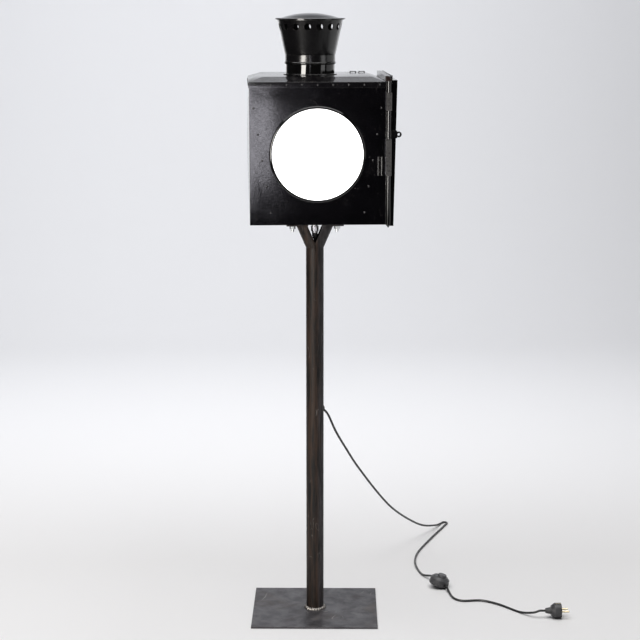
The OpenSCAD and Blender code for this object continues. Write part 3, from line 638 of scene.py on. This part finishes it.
HEAD = (0, 0, 1.15)  # the lamp's head, where its lights are aimed
WHITE = (1, 1, 1)
CREAM = (1.0, 0.96, 0.91)
LILAC = (0.93, 0.91, 1.0)

# name, place, width, height, radiance, shape, colour
LAMP_LIGHTS = [
    ("key_left", (-1.85, -2.85, 1.3), 1.2, 1.4, 22, "RECTANGLE", CREAM),
    ("dish", (-0.21, -4.5, 0.82), 0.42, 0.58, 7.5, "ELLIPSE", LILAC),
    ("strip", (-0.2, -4.5, 1.4), 0.13, 0.4, 6, "RECTANGLE", WHITE),
    ("panel_front_right", (2.25, -1.3, 1.55), 1.0, 1.7, 1.9, "RECTANGLE", WHITE),
    ("back_left", (-1.3, 2.9, 1.0), 1.6, 1.6, 1.4, "RECTANGLE", WHITE),
    ("back_right", (1.7, 3.0, 0.9), 1.0, 1.6, 0.9, "RECTANGLE", WHITE),
]


def area_light(name, place, width, height, radiance, shape="RECTANGLE", color=WHITE, aim=HEAD):
    """A flat soft light of a given brightness, aimed at a point."""
    data = bpy.data.lights.new(name, "AREA")
    data.shape = shape
    data.size = width
    data.size_y = height
    area = width * height * (math.pi / 4 if shape == "ELLIPSE" else 1)
    data.energy = radiance * math.pi * area
    data.color = color
    lamp = bpy.data.objects.new(name, data)
    bpy.context.scene.collection.objects.link(lamp)
    lamp.location = place
    lamp.rotation_euler = (Vector(aim) - Vector(place)).to_track_quat("-Z", "Y").to_euler()
    return lamp


def lamp_lights():
    """Soft lights in front and behind that only the lamp picks up, and the camera doesn't see."""
    only_lamp = bpy.data.collections.new("lamp_pieces")
    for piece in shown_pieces():
        only_lamp.objects.link(piece)
    lights = [area_light(*row) for row in LAMP_LIGHTS]
    lights.append(area_light("panel_right", (2.4, 1.0, 1.5), 3.0, 2.2, 0.7, aim=(0, 0.6, 1.3)))
    for light in lights:
        light.light_linking.receiver_collection = only_lamp
        light.visible_camera = False


def room_lights():
    """Broad light from above, and a cooler wash on the wall."""
    warm = (1.0, 0.99, 0.985)
    cool = (0.92, 0.945, 1.0)
    area_light("room_top", (-0.45, -0.6, 3.6), 4.5, 3.6, 3.8, color=warm, aim=(-0.45, -0.5, 0))
    area_light("wall_wash", (-0.6, 1.2, 2.9), 5.0, 1.0, 7.4, color=cool, aim=(-0.5, 4.8, 1.9))


def see_through_from_behind(s):
    """Hides the back of a surface from the camera, so that views from behind it work."""
    clear = s.add("ShaderNodeBsdfTransparent")
    mixer = s.add("ShaderNodeMixShader")
    behind = s.add("ShaderNodeNewGeometry").outputs["Backfacing"]
    seen = s.add("ShaderNodeLightPath").outputs["Is Camera Ray"]
    s.link(s.times(behind, seen), mixer.inputs[0])
    s.link(s.surface.outputs[0], mixer.inputs[1])
    s.link(clear.outputs[0], mixer.inputs[2])
    s.link(mixer.outputs[0], s.output.inputs[0])


def studio_paper():
    """Plain pale paper with the faintest clouding."""
    s = Shader("studio_paper")
    cloud = s.cloud(0.8, detail=3)
    tone = s.blend(cloud, (0.812, 0.81, 0.815), (0.818, 0.816, 0.82))
    paper = s.finish(tone, 0.75)
    see_through_from_behind(s)
    return paper


def floor():
    """A pale sweep: flat floor that curves up into a wall behind."""
    left, right, front_y, bend_y, radius, top = -2.1, 5.0, -2.4, 3.2, 1.6, 7.0
    steps = 24
    profile = [(front_y, 0.0), (bend_y, 0.0)]
    for i in range(1, steps + 1):
        angle = math.pi / 2 * i / steps
        profile.append((bend_y + radius * math.sin(angle), radius * (1 - math.cos(angle))))
    profile.append((bend_y + radius, top))
    bm = bmesh.new()
    rows = [[bm.verts.new((x, y, z)) for x in (left, right)] for y, z in profile]
    for a, b in zip(rows, rows[1:]):
        bm.faces.new((a[0], a[1], b[1], b[0])).smooth = True
    mesh = bpy.data.meshes.new("studio_sweep")
    bm.to_mesh(mesh)
    bm.free()
    mesh.materials.append(studio_paper())
    sweep = bpy.data.objects.new("studio_sweep", mesh)
    bpy.context.scene.collection.objects.link(sweep)
    sweep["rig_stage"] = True


def air():
    """Pale where the camera sees past the sweep, nearly dark as a light source."""
    as_light, as_seen = 0.02, 0.78
    world = bpy.data.worlds.new("studio_air")
    world.use_nodes = True
    nodes = world.node_tree.nodes
    seen = nodes.new("ShaderNodeLightPath").outputs["Is Camera Ray"]
    strength = nodes.new("ShaderNodeMapRange")
    world.node_tree.links.new(seen, strength.inputs["Value"])
    strength.inputs["To Min"].default_value = as_light
    strength.inputs["To Max"].default_value = as_seen
    nodes["Background"].inputs["Color"].default_value = (0.95, 0.96, 1.0, 1)
    world.node_tree.links.new(strength.outputs[0], nodes["Background"].inputs["Strength"])
    bpy.context.scene.world = world


def camera():
    """A long lens, a little left of centre, looking down on the lamp."""
    looks_down, turned_right = 10.69, 2.624
    data = bpy.data.cameras.new("camera")
    data.sensor_width = 36
    data.lens = 97.9
    view = bpy.data.objects.new("camera", data)
    bpy.context.scene.collection.objects.link(view)
    view.location = (-0.176, -4.110, 1.506)
    view.rotation_euler = (math.radians(90 - looks_down), 0, math.radians(-turned_right))
    bpy.context.scene.camera = view


floor()
camera()
lamp_lights()
room_lights()
air()
bpy.context.scene.view_settings.view_transform = "Standard"
bpy.context.scene.view_settings.look = "None"
